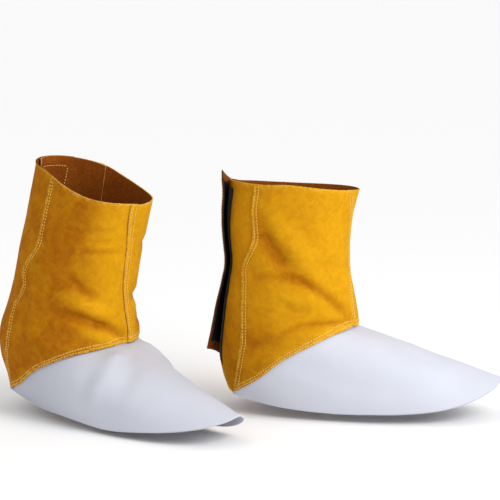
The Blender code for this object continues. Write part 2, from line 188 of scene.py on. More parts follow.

# Both guards in their own frames: toe along +X, outer side +Y, sole plane at height 0. Angles are
# degrees from the toe; the front seam's and those of folds and sags are positive to the outer side.
# rim: angle and height. spring: height, and how far the flap stands off the tube, from 0 to 1.
# folds: places (angle and height) that one runs through, its width and how far it rises.
# lobes: points on the flare that one runs through, its width and how far it rises.
# hem_sags: angle, the degrees either way over which one fades, and its drop.
# deep_behind: how much painted shade deepens the colour behind the shin, away from the light,
# between the angles of deep_sides.
# deep_foot: how much darker the colour is at the ankle, past an angle. soil: how much painted shade
# greys the flare.
LEFT = {
    "outer": 1,
    "place": (0.127, 0.019),
    "yaw": -9.0,
    "rim": ((0, 0.305), (90, 0.303), (150, 0.308), (180, 0.316), (200, 0.318), (235, 0.317),
            (270, 0.318), (315, 0.312), (360, 0.305)),
    "edge_shift": 0.006,
    "edge_dip": 0.0,
    "flap_rise": 0.014,
    "soil": 0.0,
    "deep_behind": 0.38,
    "deep_sides": (25, 125),
    "deep_foot": (0.30, 80),
    "toe_lift": 0.051,
    "toe_slump": 0.0,
    "toe_pinch": 0.0,
    "hem_sags": (),
    "spring": ((0.070, 0.88), (0.100, 0.76), (0.150, 0.58), (0.200, 0.45), (0.240, 0.42),
               (0.320, 0.46)),
    "sections": (
        (0.320, 0.009, 0.004, 0.091, 0.064, 2.1, -19, 131, 116),
        (0.300, 0.006, 0.003, 0.0875, 0.065, 2.1, -15, 130, 115),
        (0.280, 0.0025, 0.002, 0.0855, 0.067, 2.1, -9, 128, 111),
        (0.260, 0.000, 0.001, 0.0835, 0.069, 2.1, -4, 125, 107),
        (0.238, -0.0005, 0.000, 0.0815, 0.071, 2.1, 1, 124, 105),
        (0.205, 0.001, 0.000, 0.080, 0.073, 2.1, -1, 136, 119),
        (0.180, 0.0015, 0.000, 0.0835, 0.075, 2.2, -7, 134, 113),
        (0.150, 0.002, 0.000, 0.089, 0.077, 2.2, -12, 133, 122),
        (0.112, 0.002, 0.000, 0.093, 0.079, 2.3, -11, 131, 119),
        (0.078, -0.003, 0.000, 0.091, 0.074, 2.3, -11, 133, 128),
        (0.045, -0.004, 0.000, 0.088, 0.069, 2.3, -11, 140, 138),
        (0.020, -0.004, 0.000, 0.089, 0.063, 2.3, -11, 147, 147),
    ),
    "folds": (
        # inner side
        (((-120, 0.193), (-95, 0.195), (-72, 0.191), (-58, 0.180), (-36, 0.153),
          (-16, 0.125)), 0.009, -0.006),
        (((-96, 0.169), (-68, 0.166), (-46, 0.150)), 0.012, 0.003),
        (((-94, 0.164), (-79, 0.152), (-66, 0.147)), 0.008, -0.0022),
        (((-122, 0.262), (-108, 0.244), (-96, 0.226), (-85, 0.210),
          (-73, 0.197)), 0.0165, -0.0062),
        (((-94, 0.268), (-74, 0.236), (-58, 0.212)), 0.016, 0.003),
        (((-92, 0.120), (-74, 0.130), (-55, 0.1315), (-36, 0.131), (-16, 0.127)), 0.0065, -0.0042),
        (((-130, 0.103), (-110, 0.104), (-94, 0.109)), 0.01, -0.0018),
        # outer side
        (((110, 0.216), (88, 0.209), (64, 0.198), (44, 0.172), (18, 0.140)), 0.009, -0.005),
        (((94, 0.187), (66, 0.176), (42, 0.150)), 0.012, 0.0024),
        (((114, 0.260), (96, 0.244), (78, 0.228)), 0.012, -0.0034),
        (((86, 0.266), (64, 0.236)), 0.016, 0.0026),
        (((88, 0.112), (62, 0.118), (32, 0.121)), 0.007, -0.0022),
    ),
    "lobes": (
        # inner side
        (((0.030, -0.080, 0.070), (0.060, -0.079, 0.054), (0.090, -0.077, 0.044)), 0.02, -0.0036),
        (((0.100, -0.075, 0.040), (0.150, -0.068, 0.038)), 0.016, -0.002),
        (((0.120, -0.052, 0.085), (0.190, -0.050, 0.055)), 0.022, 0.0022),
        # outer side
        (((0.088, 0.045, 0.098), (0.116, 0.066, 0.070), (0.120, 0.074, 0.045)), 0.013, 0.0045),
        (((0.066, 0.066, 0.082), (0.078, 0.076, 0.055), (0.082, 0.078, 0.032)), 0.012, -0.005),
    ),
}
RIGHT = {
    "outer": -1,
    "place": (-0.175, 0.009),
    "yaw": -37.0,
    "rim": ((0, 0.297), (45, 0.305), (90, 0.322), (135, 0.340), (180, 0.348), (225, 0.338),
            (270, 0.318), (315, 0.302), (360, 0.297)),
    "edge_shift": -0.006,
    "edge_dip": 0.0085,
    "flap_rise": 0.0,
    "soil": 1.0,
    "deep_behind": 0.95,
    "deep_sides": (14, 66),
    "deep_foot": (0.55, 10),
    "toe_lift": 0.036,
    "toe_slump": 0.016,
    "toe_pinch": 0.42,
    "hem_sags": ((-36, 18, 0.0085), (62, 20, 0.006)),
    "spring": ((0.0, 0.0), (0.4, 0.0)),
    "sections": (
        (0.340, 0.057, 0.000, 0.090, 0.060, 2.1, 13, 130, 116),
        (0.290, 0.042, 0.000, 0.086, 0.065, 2.1, 12, 127, 111),
        (0.262, 0.034, 0.000, 0.084, 0.069, 2.1, 9, 124, 107),
        (0.238, 0.027, 0.000, 0.083, 0.072, 2.1, 5, 123, 105),
        (0.205, 0.018, 0.000, 0.083, 0.074, 2.1, 2, 135, 119),
        (0.180, 0.012, 0.000, 0.083, 0.075, 2.1, -1, 134, 113),
        (0.150, 0.004, 0.000, 0.086, 0.077, 2.1, -7, 133, 122),
        (0.112, 0.000, 0.000, 0.091, 0.083, 2.4, -10, 131, 119),
        (0.078, -0.004, 0.000, 0.092, 0.077, 2.3, -10, 133, 128),
        (0.045, -0.002, 0.000, 0.0865, 0.070, 2.3, -10, 140, 138),
        (0.020, -0.001, 0.000, 0.086, 0.063, 2.3, -10, 147, 147),
    ),
    "folds": (
        # outer side
        (((74, 0.262), (46, 0.2625), (24, 0.263)), 0.0065, -0.0024),
        (((42, 0.247), (31, 0.2495), (20, 0.248)), 0.0052, -0.0018),
        (((48, 0.235), (28, 0.2335), (8, 0.229)), 0.0056, -0.0022),
        (((60, 0.201), (50, 0.192), (38, 0.180), (22, 0.165)), 0.0095, -0.004),
        (((60, 0.172), (40, 0.164), (24, 0.152), (8, 0.139)), 0.01, 0.0028),
        (((80, 0.145), (52, 0.149), (35, 0.1415), (15, 0.129), (-5, 0.109)), 0.009, -0.0088),
        (((40, 0.124), (24, 0.118), (8, 0.108)), 0.009, 0.0032),
        (((88, 0.132), (64, 0.124), (44, 0.119)), 0.013, -0.0038),
        # front
        (((-16, 0.163), (-50, 0.166)), 0.008, -0.0032),
        (((-13, 0.147), (-46, 0.148)), 0.008, 0.0024),
        (((-14, 0.236), (-44, 0.240)), 0.009, -0.0022),
        # inner side
        (((-34, 0.152), (-56, 0.170), (-78, 0.186), (-106, 0.191)), 0.01, -0.005),
        (((-58, 0.150), (-88, 0.163)), 0.012, 0.0024),
        (((-56, 0.238), (-82, 0.244), (-100, 0.240)), 0.008, -0.0028),
        (((-28, 0.127), (-60, 0.126), (-88, 0.118)), 0.007, -0.0022),
    ),
    "lobes": (
        # outer side
        (((0.105, 0.030, 0.095), (0.113, 0.050, 0.086), (0.115, 0.067, 0.072),
          (0.110, 0.074, 0.054), (0.105, 0.075, 0.036)), 0.0115, 0.0056),
        (((0.092, 0.071, 0.070), (0.088, 0.076, 0.050), (0.088, 0.076, 0.026)), 0.0125, -0.003),
        (((0.112, 0.004, 0.096), (0.138, 0.030, 0.083), (0.145, 0.050, 0.067),
          (0.142, 0.066, 0.050)), 0.01, -0.0026),
        (((0.112, 0.073, 0.018), (0.134, 0.069, 0.020)), 0.01, -0.002),
        # inner side
        (((0.084, -0.044, 0.098), (0.110, -0.064, 0.074), (0.116, -0.074, 0.046)), 0.013, 0.0048),
        (((0.062, -0.068, 0.080), (0.074, -0.077, 0.054), (0.076, -0.080, 0.030)), 0.012, -0.005),
    ),
}
GUARDS = {"left": LEFT, "right": RIGHT}


# --- the form: points on the tube for arrays of angles and heights ---
def follow(rows, key):
    """Every other column of a table at values of its first, on a smooth curve."""
    table = np.array(sorted(rows), dtype=float)
    keys, values = table[:, 0], table[:, 1:]
    key = np.clip(np.asarray(key, dtype=float), keys[0], keys[-1])
    before = np.maximum(np.arange(len(keys)) - 1, 0)
    after = np.minimum(np.arange(len(keys)) + 1, len(keys) - 1)
    slopes = (values[after] - values[before]) / (keys[after] - keys[before])[:, None]
    i = np.clip(np.searchsorted(keys, key) - 1, 0, len(keys) - 2)
    span = (keys[i + 1] - keys[i])[..., None]
    t = (key - keys[i])[..., None] / span
    return (values[i] * (1 + 2 * t) * (1 - t) ** 2 + slopes[i] * span * t * (1 - t) ** 2
            + values[i + 1] * t * t * (3 - 2 * t) - slopes[i + 1] * span * t * t * (1 - t))


def ease(value, start, end):
    """0 before start and 1 after end, smooth between them."""
    t = np.clip((value - start) / (end - start), 0.0, 1.0)
    return t * t * (3 - 2 * t)


def hump(distance, width):
    return np.exp(-(distance / width) ** 2)


def unit(vectors):
    return vectors / np.maximum(np.linalg.norm(vectors, axis=-1, keepdims=True), 1e-9)


def section(guard, height):
    values = follow(guard["sections"], height)
    return {name: values[..., n] for n, name in enumerate(SECTION_COLUMNS)}


def side_signed(angle):
    """Degrees from the toe, positive to the outer side, for an angle counted by the outer side."""
    return (np.asarray(angle, dtype=float) + 180) % 360 - 180


def arc(guard, height):
    """Metres round the tube in one degree."""
    size = section(guard, height)
    return np.radians((size["half_length"] + size["half_width"]) / 2)


def edge_height(guard, angle):
    side = side_signed(angle)
    inner, outer = np.moveaxis(follow(EDGE, np.abs(side)), -1, 0)
    shift = (guard["edge_shift"] * (1 + np.cos(np.radians(side))) / 2
             - guard["edge_dip"] * hump(side - EDGE_DIP_SIDE, EDGE_DIP_WIDTH))
    return np.where(side > 0, outer, inner) + shift


def flap_edge_height(guard, angle):
    """Lower edge of the outer back panel, which runs level across the flap."""
    level = follow(FLAP_EDGE_ROWS, angle)[..., 0]
    return np.where(angle <= FLAP_LEVEL, edge_height(guard, angle), level)


def rim_height(guard, angle):
    return follow(guard["rim"], np.asarray(angle, dtype=float) % 360)[..., 0]


def nearest_on(legs):
    """Distance to a path, and the share of it gone at the nearest place, for legs that each give
    the way from their start to the points and to their end."""
    nearest, gone = 1.0, 0.0
    for n, (here, along) in enumerate(legs):
        share = np.clip((here * along).sum(-1) / (along * along).sum(-1), 0.0, 1.0)
        away = np.linalg.norm(here - along * share[..., None], axis=-1)
        gone = np.where(away < nearest, (n + share) / len(legs), gone)
        nearest = np.minimum(nearest, away)
    return nearest, gone


def fold_depth(guard, angle, height):
    """How far the folds push the wall in (negative) or out at places on it."""
    per_degree = arc(guard, height)
    side = side_signed(angle)
    total = np.zeros(np.broadcast(angle, height).shape)
    for path, width, depth in guard["folds"]:
        legs = [(np.stack([(side - start[0]) * per_degree, height - start[1]], axis=-1),
                 np.stack([(end[0] - start[0]) * per_degree,
                           np.full_like(per_degree, end[1] - start[1])], axis=-1))
                for start, end in zip(path, path[1:])]
        nearest, gone = nearest_on(legs)
        across = (nearest / width) ** 2
        shape = (1 - FOLD_BANKS * across) * np.exp(-across)
        total += depth * shape * (FOLD_ENDS + (1 - FOLD_ENDS) * np.sin(np.pi * gone))
    return total


def tube_point(guard, angle, height):
    """Points on the leather tube, before any ply: a rounded oval, squarer low down."""
    angle, height = np.broadcast_arrays(np.asarray(angle, dtype=float), height)
    size, turn = section(guard, height), np.radians(angle)
    power = size["squareness"]
    along = np.abs(np.cos(turn)) / size["half_length"]
    across = np.abs(np.sin(turn)) / size["half_width"]
    radius = (along ** power + across ** power) ** (-1 / power)
    radius = radius + fold_depth(guard, angle, height)
    return np.stack([size["forward"] + radius * np.cos(turn),
                     size["out"] + radius * np.sin(turn), height + 0 * angle], axis=-1)


def tube_normal(guard, angle, height):
    """Outward direction of the tube, from points a degree and 2 mm to either side."""
    across = tube_point(guard, angle + 1, height) - tube_point(guard, angle - 1, height)
    up = tube_point(guard, angle, height + 0.002) - tube_point(guard, angle, height - 0.002)
    return unit(np.cross(across, up))


def ply_point(guard, angle, height, ply):
    return tube_point(guard, angle, height) + tube_normal(guard, angle, height) * ply[..., None]


def flap_point(guard, angle, height, ply):
    """Points on the flap, which springs off the tube past the edge of the underlap."""
    wrapped = ply_point(guard, angle, height, ply)
    spring = follow(guard["spring"], height)[..., 0][..., None]
    if spring.max() == 0:
        return wrapped
    past = np.maximum(angle - UNDERLAP_EDGE, 0.0)
    root = np.full_like(angle, UNDERLAP_EDGE)
    root_normal = tube_normal(guard, root, height)
    before = place = ply_point(guard, root, height, ply)
    for n in range(1, FLAP_STEPS + 1):
        here = UNDERLAP_EDGE + past * n / FLAP_STEPS
        after = ply_point(guard, here, height, ply)
        outward = unit(tube_normal(guard, here, height) * (1 - spring) + root_normal * spring)
        along = unit(np.cross((0.0, 0.0, 1.0), outward))
        place = place + along * np.linalg.norm(after - before, axis=-1, keepdims=True)
        before = after
    return np.where((angle <= UNDERLAP_EDGE)[..., None], wrapped, place)


def to_world(guard, points):
    """From a guard's own frame to the pair's."""
    turn = math.radians(guard["yaw"])
    x, y = points[..., 0], points[..., 1] * guard["outer"]
    return np.stack([guard["place"][0] + x * math.cos(turn) - y * math.sin(turn),
                     guard["place"][1] + x * math.sin(turn) + y * math.cos(turn),
                     points[..., 2] - COLLAR], axis=-1)


# --- the unevenness of worn leather ---
def lumps(points, size, seed):
    """Soft noise between about -1 and 1 with lumps of that size."""
    flat = points.reshape(-1, 3) / size + seed
    values = [noise.noise(Vector(point)) for point in flat]
    return np.array(values).reshape(points.shape[:-1])


def wear(points, rows):
    """How far worn leather stands up at points on it."""
    return sum(height * lumps(points, size, seed) for height, size, seed in rows)


def spread(length):
    """Shares from 0 to 1 along a length, close together near both of its ends."""
    near = np.arange(0.0, FINE_REACH, FINE)
    count = max(int((length - 2 * FINE_REACH) / COARSE), 2)
    middle = np.linspace(FINE_REACH, length - FINE_REACH, count + 1)
    return np.concatenate([near, middle, (length - near)[::-1]]) / length


def seam_relief(distance, uneven, along, pucker):
    """A sewn lap beside its raw edge: a lifted edge, a dip under each stitch row, and puckers
    that run slantwise between the rows."""
    dips = sum(hump(distance - row, ROW_DIP_WIDTH) for row in ROWS_IN)
    lift = EDGE_LIFT[0] + EDGE_LIFT[1] * uneven
    edge = lift * hump(distance, EDGE_LIFT_WIDTH) - ROW_DIP * dips
    between = hump(distance - sum(ROWS_IN) / 2, PUCKER_WIDTH)
    slant = (along + distance * PUCKER_SLANT) / STITCH_PITCH
    return edge + between * (0.5 * pucker + pucker * np.sin(2 * math.pi * slant))


# --- the tube's panels: each is bounded by two side edges, a foot and the rim ---
class Panel:
    """One leather panel of a tube, as angles and heights with its points."""

    def __init__(self, guard, start, end, ply, foot=edge_height, surface=ply_point, seams=()):
        self.guard, self.start, self.end = guard, start, end
        self.ply, self.foot, self.surface, self.seams = ply, foot, surface, seams
        self.is_flap = foot is flap_edge_height
        width = (end(PANEL_LEVEL) - start(PANEL_LEVEL)) * arc(guard, PANEL_LEVEL)
        self.shares = spread(float(width))
        self.levels = spread(PANEL_HEIGHT)

    def angle(self, share, height):
        start, end = self.start(height), self.end(height)
        return start + (end - start) * share

    def share_at(self, angle):
        """The share of the panel's width at which an angle lies."""
        start, end = self.start(PANEL_LEVEL), self.end(PANEL_LEVEL)
        return (angle - start) / (end - start)

    def ends(self, share):
        """Heights at which the panel meets its lower edge and the rim."""
        low, high = (np.full_like(share, guess) for guess in END_GUESSES)
        for _ in range(GUESS_ROUNDS):
            low = (low + self.foot(self.guard, self.angle(share, low))) / 2
            high = rim_height(self.guard, self.angle(share, high))
        if self.is_flap:
            raised = ease(self.angle(share, high), UNDERLAP_EDGE, FLAP_RAISED)
            high = high + self.guard["flap_rise"] * raised
        return low, high

    def place(self, angle, height, low, high):
        """Points of the wall's middle at angles and heights, with the relief of seams and wear."""
        guard = self.guard
        per_degree = arc(guard, height)
        distances = {
            "start": (angle - self.start(height)) * per_degree,
            "end": (self.end(height) - angle) * per_degree,
            "foot": height - low,
            "rim": high - height,
        }
        base = tube_point(guard, angle, height)
        uneven = lumps(base, *EDGE_LIFT_LUMPS)
        relief = wear(base, SUEDE_WEAR)
        nearest = np.full(height.shape, 1.0)
        for name in self.seams:
            along, pucker = ((angle * per_degree, PUCKER_AT_FOOT) if name == "foot"
                             else (height, PUCKER))
            relief = (relief * ease(distances[name], 0.0, SEAM_REACH)
                      + seam_relief(distances[name], uneven, along, pucker))
            nearest = np.minimum(nearest, distances[name])
        crinkled, reach = CRINKLE_BAND
        relief = relief + wear(base, CRINKLE) * hump(nearest - crinkled, reach)
        ply = self.ply(guard, angle, height) + relief
        return self.surface(guard, angle, height, ply), distances

    def grid(self):
        share = self.shares
        low, high = self.ends(share)
        height = low[:, None] + (high - low)[:, None] * self.levels
        angle = self.angle(share[:, None], height)
        points, distances = self.place(angle, height, low[:, None], high[:, None])
        painted = {"near_edge": near_edges(distances),
                   "painted_shade_and_ankle": painted_shade_and_ankle(self.guard, angle, height)}
        # the flap's free edge gets a painted shade
        if self.is_flap:
            painted["flap_shade"] = 1 - ease(distances["end"], *FLAP_SHADE_REACH)
        return points, painted


def seam(guard, name, shift=0.0):
    """The raw edge at a seam, as an angle for each height, counted by the outer side."""
    def angle_at(height):
        angle = section(guard, height)[name]
        return (360 - angle if name == "inner_seam" else angle) + shift
    return angle_at


def fixed(angle):
    return lambda height: angle + 0 * np.asarray(height, dtype=float)


def level_ply(ply):
    return lambda guard, angle, height: np.full(height.shape, ply)


def outer_quarter_ply(guard, angle, height):
    size = section(guard, height)
    return PLY * ease(angle, size["front_seam"], size["outer_seam"] - LAP_ANGLE)


def flap_ply(guard, angle, height):
    return FLAP_STEP * ease(angle, section(guard, height)["outer_seam"], FLAP_CLEAR)


def hook_ply(guard, angle, height):
    return flap_ply(guard, angle, height) - TAPE_STEP


def panels_of(guard):
    """The four leather panels of a tube, by name."""
    return {
        "inner_quarter": Panel(guard, seam(guard, "inner_seam"), seam(guard, "front_seam", 360),
                               level_ply(PLY), seams=("start", "end", "foot")),
        "outer_quarter": Panel(guard, seam(guard, "front_seam", -LAP_ANGLE),
                               seam(guard, "outer_seam"), outer_quarter_ply,
                               seams=("end", "foot")),
        "inner_back": Panel(guard, fixed(UNDERLAP_EDGE), seam(guard, "inner_seam", LAP_ANGLE),
                            level_ply(0.0)),
        "outer_back_and_flap": Panel(guard, seam(guard, "outer_seam", -LAP_ANGLE),
                                     fixed(FLAP_EDGE), flap_ply, flap_edge_height, flap_point),
    }


# --- the flare ---
def flare_ply(guard, side, height):
    """The flare lies a ply deeper where two layers of the tube lie over it."""
    front = section(guard, height)["front_seam"]
    from_lap = np.abs(side - front + LAP_ANGLE / 2)
    at_front = 1 - ease(from_lap, LAP_ANGLE, LAP_ANGLE + RAMP)
    along_outer = np.where(side > front, ease(side, front, HEEL_CORNER - LAP_ANGLE), 1.0)
    at_heel = ease(np.abs(side), HEEL_CORNER - LAP_ANGLE - RAMP, HEEL_CORNER - LAP_ANGLE)
    return -PLY * np.maximum.reduce([at_front, 1 - along_outer, at_heel]) - GAP


def lobe_height(guard, place):
    """How far the flare's soft lobes raise (or sink) the straight cone at places on it."""
    total = np.zeros(place.shape[:-1])
    for path, width, rise in guard["lobes"]:
        ends = np.array(path)
        legs = [(place - start, end - start) for start, end in zip(ends, ends[1:])]
        nearest, _ = nearest_on(legs)
        total += rise * hump(nearest, width)
    return total


def flare_grid(guard):
    """Columns of the flare, each from hem to seam, from the inner heel corner to the outer."""
    closing, even = FLARE_SPACING
    side = HEEL_CORNER * np.sin(np.linspace(-1, 1, FLARE_COLUMNS) * math.pi / 2)
    side = side * closing + even * np.linspace(-HEEL_CORNER, HEEL_CORNER, FLARE_COLUMNS)
    low = edge_height(guard, side)
    ply = flare_ply(guard, side, low)
    top = ply_point(guard, side, low + LAP, ply)
    edge = ply_point(guard, side, low, ply)
    start = edge + unit(edge - top) * TURN
    forward, out, height, lift = np.moveaxis(follow(HEM, np.abs(side)), -1, 0)
    height = height + (guard["toe_lift"] - guard["toe_slump"] * ease(-side, 0, SLUMP_SIDE)) * lift
    for centre, width, drop in guard["hem_sags"]:
        height = height - drop * hump(side - centre, width)
    pinch = guard["toe_pinch"] * hump(side - PINCH_SIDE, PINCH_WIDTH)
    out = out * (1 - pinch * (side < 0))
    hem = np.stack([forward, np.sign(side) * out, height], axis=-1)
    turn = np.radians(side)
    outward = unit(np.stack([np.cos(turn), np.sin(turn), np.ones_like(turn)], axis=-1))[:, None]
    margin = np.linspace(0, 1, FLARE_MARGIN_ROWS, endpoint=False)[:, None]
    rows = [top[:, None] * (1 - margin) + start[:, None] * margin]
    share = np.linspace(0, 1, FLARE_ROWS) ** FLARE_ROW_POWER
    fall = np.linalg.norm(hem - start, axis=-1)[:, None]
    place = start[:, None] * (1 - share[:, None]) + hem[:, None] * share[:, None]
    crown = FLARE_CROWN * fall * np.sin(np.pi * share) * np.abs(np.sin(turn))[:, None]
    crown = crown + lobe_height(guard, place) * ease(share, 0, LOBE_START)
    crown = crown + wear(place, FLARE_WEAR) * ease(share, 0, FLARE_WEAR_START)
    rows.append(place + outward * crown[..., None])
    return np.concatenate(rows, axis=1)[:, ::-1]


# --- finishes: sums of shader nodes written as plain expressions ---
class Flow:
    """A node socket that sums can be written with."""

    def __init__(self, finish, socket):
        self.finish = finish
        self.socket = socket

    def sum(self, operation, first, second):
        return self.finish.node("ShaderNodeMath", {"operation": operation}, {0: first, 1: second})

    def __add__(self, other):
        return self.sum("ADD", self, other)

    def __sub__(self, other):
        return self.sum("SUBTRACT", self, other)

    def __rsub__(self, other):
        return self.sum("SUBTRACT", other, self)

    def __mul__(self, other):
        return self.sum("MULTIPLY", self, other)

    __radd__ = __add__
    __rmul__ = __mul__


class Finish:
    """One material: its shader's constant sockets, and the nodes that vary the others."""

    def __init__(self, name, roughness, specular, constants=None):
        self.material = bpy.data.materials.new(name)
        self.material.use_nodes = True
        self.tree = self.material.node_tree
        self.shader = self.tree.nodes["Principled BSDF"]
        sockets = {"Roughness": roughness, "Specular IOR Level": specular, **(constants or {})}
        for socket, value in sockets.items():
            self.shader.inputs[socket].default_value = value
        self.coordinates = self.node("ShaderNodeTexCoord", {}, {}, output="Object")

    def node(self, kind, settings, sockets, output=0):
        """A node of a type, with its settings, and with values or links for its sockets."""
        node = self.tree.nodes.new(kind)
        for name, value in settings.items():
            setattr(node, name, value)
        for socket, value in sockets.items():
            if isinstance(value, Flow):
                self.tree.links.new(value.socket, node.inputs[socket])
            else:
                node.inputs[socket].default_value = value
        return Flow(self, node.outputs[output])

    def grain(self, size, detail=2.0, roughness=0.5, distortion=0.0):
        """Noise from 0 to 1 with grains of that size in metres."""
        return self.node("ShaderNodeTexNoise", {}, {
            "Vector": self.coordinates, "Scale": 1 / size, "Detail": detail,
            "Roughness": roughness, "Distortion": distortion})

    def cells(self, size):
        """Distance from the middle of the nearest cell, of that size in metres."""
        return self.node("ShaderNodeTexVoronoi", {},
                         {"Vector": self.coordinates, "Scale": 1 / size})

    def mask(self, name):
        """A value painted on the mesh's own points."""
        return self.node("ShaderNodeAttribute", {"attribute_name": name}, {}, output="Fac")

    def band(self, value, low, high):
        """0 below low and 1 above high."""
        return self.node("ShaderNodeMapRange", {"interpolation_type": "SMOOTHSTEP"},
                         {"Value": value, "From Min": low, "From Max": high})

    def patches(self, low, high, *grain):
        """Grain with its middle stretched out: 0 below low and 1 above high."""
        return self.band(self.grain(*grain), low, high)

    def mix(self, factor, first, second):
        return self.node("ShaderNodeMix", {"data_type": "RGBA"}, {0: factor, 6: first, 7: second},
                         output=2)

    def feed(self, socket, flow):
        self.tree.links.new(flow.socket, self.shader.inputs[socket])

    def paint(self, factor, first, second):
        self.feed("Base Color", self.mix(factor, first, second))

    def bump(self, height, strength, distance):
        self.feed("Normal", self.node("ShaderNodeBump", {}, {
            "Height": height, "Strength": strength, "Distance": distance}))


def colour(red, green, blue):
    """A colour given as it looks on screen, from 0 to 255."""
    def linear(value):
        value = value / 255
        return value / 12.92 if value <= 0.04045 else ((value + 0.055) / 1.055) ** 2.4
    return (linear(red), linear(green), linear(blue), 1.0)


def golden_suede():
    """The outer face of the split leather: fine even nap over an uneven dye, with painted shade and
    a painted highlight.
    """
    finish = Finish("golden_suede", 0.9, 0.04)
    cloud = finish.patches(0.34, 0.70, 0.034, 4.0, 0.55, 0.5)
    brushed = finish.patches(0.30, 0.70, 0.009, 4.0, 0.6, 0.8)
    nap = finish.grain(0.0013, 3.0, 0.65)
    fibre = finish.grain(0.0005, 2.0, 0.6)
    bright = finish.mix(brushed, colour(203, 144, 16), colour(214, 156, 20))
    # shaded_tone is painted shade: a browner copy of the colour, laid on behind the shin and in
    # hollows, and darker at the ankle
    shaded_tone = finish.mix(brushed, colour(154, 90, 9), colour(170, 104, 11))
    shade_amount = finish.mask("painted_shade_and_ankle")
    body = finish.mix(shade_amount * (0.80 + 0.25 * cloud) + 0.14 * cloud, bright, shaded_tone)
    pit = finish.band(nap * 0.6 + fibre * 0.4, 0.36, 0.50)
    shade = finish.mix(0.22 - 0.22 * pit, body, colour(150, 84, 8))
    # paler nap along the cut edges from wear, and over the foot seam partly a painted highlight
    pale_edge = finish.mask("near_edge") * finish.patches(0.35, 0.65, 0.004, 3.0)
    shade = finish.mix(pale_edge * 0.40, shade, colour(240, 192, 74))
    # painted shade: dark brown along the flap's free edge
    flap_darkness = finish.mask("flap_shade") * finish.patches(0.20, 0.50, 0.010, 3.0)
    finish.paint(flap_darkness * 0.92, shade, colour(62, 36, 22))
    finish.feed("Roughness", 0.84 + 0.12 * nap)
    finish.bump(0.6 * nap + 0.3 * fibre + 0.25 * brushed, 0.35, 0.0005)
    return finish.material


def suede_inside():
    """The inner face of the split leather, darker and hairier than the outer."""
    finish = Finish("suede_inside", 0.95, 0.04)
    patch = finish.patches(0.3, 0.7, 0.020, 4.0, 0.6, 0.5)
    hair = finish.grain(0.0016, 4.0, 0.75, 0.5)
    body = finish.mix(patch, colour(150, 80, 24), colour(174, 96, 30))
    finish.paint(finish.band(hair, 0.35, 0.7), colour(122, 62, 16), body)
    finish.bump(hair, 0.5, 0.0008)
    return finish.material


def raw_edge(name, dark, pale):
    """The cut edge of a leather: its open fibres."""
    finish = Finish(name, 0.95, 0.04)
    fibre = finish.grain(0.0007, 4.0, 0.7)
    stretch = finish.grain(0.009, 3.0)
    tone = finish.band(fibre * 0.6 + stretch * 0.4, 0.36, 0.64)
    finish.paint(tone, dark, pale)
    finish.bump(fibre, 0.6, 0.0005)
    return finish.material


def white_leather():
    """The flare's outer face: smooth, cool off-white, with the faintest pebble and rubbed marks."""
    finish = Finish("white_leather", 0.6, 0.25)
    patch = finish.patches(0.3, 0.7, 0.080, 3.0, 0.5, 0.3)
    pebble = finish.cells(0.0012)
    pores = finish.grain(0.0007, 3.0, 0.6)
    rubbed = finish.patches(0.45, 0.80, 0.022, 5.0, 0.65, 0.8)
    body = finish.mix(patch, colour(197, 200, 211), colour(201, 204, 215))
    body = finish.mix(rubbed * 0.16, body, colour(193, 196, 208))
    # painted shade: the flare greyer where the soil mask is high, most behind the toe
    body = finish.mix(finish.mask("soil") * (0.75 + 0.25 * patch), body, colour(172, 175, 187))
    pale_edge = finish.mask("near_edge") * finish.patches(0.4, 0.65, 0.005, 3.0)
    finish.paint(pale_edge * 0.25, body, colour(200, 202, 212))
    finish.feed("Roughness", 0.55 + 0.12 * pores + 0.06 * rubbed)
    finish.bump(0.5 * pebble + 0.5 * pores, 0.08, 0.0002)
    return finish.material


def white_inside():
    """The flare's inner face, grey-white flesh side."""
    finish = Finish("white_leather_inside", 0.9, 0.1)
    hair = finish.grain(0.0018, 4.0, 0.75, 0.5)
    patch = finish.patches(0.3, 0.7, 0.030, 3.0)
    body = finish.mix(patch, colour(186, 188, 198), colour(202, 204, 213))
    finish.paint(finish.band(hair, 0.35, 0.7), colour(172, 174, 184), body)
    finish.bump(hair, 0.4, 0.0007)
    return finish.material


def hook_face():
    """Black hook tape: stiff hooks set close together."""
    finish = Finish("hook_tape", 0.6, 0.3)
    hooks = finish.cells(0.0013)
    tone = finish.band(hooks, 0.1, 0.7)
    finish.paint(tone, colour(44, 40, 42), colour(16, 14, 16))
    finish.bump(1.0 - hooks, 0.8, 0.0009)
    return finish.material


def loop_face():
    """Black loop tape: a brushed, matt pile."""
    finish = Finish("loop_tape", 0.95, 0.2, {"Sheen Weight": 0.1, "Sheen Roughness": 0.5})
    pile = finish.grain(0.0012, 4.0, 0.8, 1.2)
    finish.paint(finish.band(pile, 0.35, 0.7), colour(12, 10, 12), colour(30, 28, 30))
    finish.bump(pile, 0.8, 0.0008)
    return finish.material


def waxed_thread():
    """Pale yellow heavy thread, duller in places."""
    finish = Finish("waxed_thread", 0.65, 0.15)
    twist = finish.grain(0.0009, 2.0)
    soil = finish.patches(0.35, 0.7, 0.020, 3.0)
    body = finish.mix(finish.band(twist, 0.35, 0.65), colour(228, 186, 86), colour(246, 216, 128))
    finish.paint(soil * 0.30, body, colour(226, 176, 66))
    finish.bump(twist, 0.4, 0.0003)
    return finish.material


SUEDE, SUEDE_INSIDE = golden_suede(), suede_inside()
HOOKS, LOOPS = hook_face(), loop_face()
THREAD = waxed_thread()

# The finishes of each piece: outer face, inner face and cut edge.
GOLD_FACES = (SUEDE, SUEDE_INSIDE,
              raw_edge("golden_raw_edge", colour(188, 134, 52), colour(232, 190, 104)))
